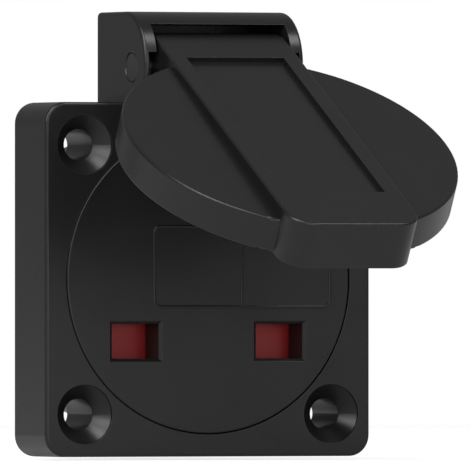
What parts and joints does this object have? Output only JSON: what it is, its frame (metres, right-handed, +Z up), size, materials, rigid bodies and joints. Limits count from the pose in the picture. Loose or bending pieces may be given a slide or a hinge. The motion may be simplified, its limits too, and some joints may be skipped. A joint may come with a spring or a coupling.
{
  "type": "industrial panel socket",
  "caption": "Black square-flanged panel mains socket with a hinged round splash lid, a shuttered flat-pin face, screw terminals and countersunk fixing holes.",
  "frame": {"origin": "centre of the four fixing holes, on the flange's back face, which lies on the panel", "axes": "+X to the right seen from the front, +Y back through the panel, +Z up towards the hinge"},
  "size_m": [0.05, 0.0818, 0.0628],
  "materials": {
    "black_plastic": "satin black moulded thermoplastic",
    "red_plastic": "satin dark red moulded thermoplastic",
    "black_rubber": "soft matt black rubber",
    "dark_steel": "blackened steel",
    "spring_steel": "bright spring steel",
    "zinc_steel": "zinc-plated steel",
    "brass": "rolled brass"
  },
  "bodies": {
    "housing": {"flange_housing": "black_plastic", "hinge_pin": "dark_steel", "lid_spring": "spring_steel", "socket_face": "black_plastic", "face_seal": "black_rubber", "shutter_spring": "spring_steel", "contact_carrier": "black_plastic", "rear_cover": "black_plastic", "assembly_screws": "zinc_steel", "panel_seal": "black_rubber", "line_contact": "brass", "neutral_contact": "brass", "earth_contact": "brass", "line_clip": "spring_steel", "neutral_clip": "spring_steel", "earth_clip": "spring_steel", "line_terminal": "brass", "neutral_terminal": "brass", "earth_terminal": "brass", "terminal_screws": "zinc_steel"},
    "lid": {"lid": "black_plastic", "lid_seal": "black_rubber"},
    "shutter": {"shutter": "red_plastic"}
  },
  "joints": [
    {"name": "lid_hinge", "type": "hinge", "parent": "housing", "child": "lid", "pos_m": [0, -0.01225, 0.0299], "axis": [-1, 0, 0], "range_deg": [-60, 30], "deforming": ["lid_spring"]},
    {"name": "shutter_turn", "type": "hinge", "parent": "housing", "child": "shutter", "pos_m": [0, -0.0053, 0], "axis": [0, -1, 0], "range_deg": [0, 32], "stiffness_Nm_per_rad": 0.004, "deforming": ["shutter_spring"]}
  ]
}
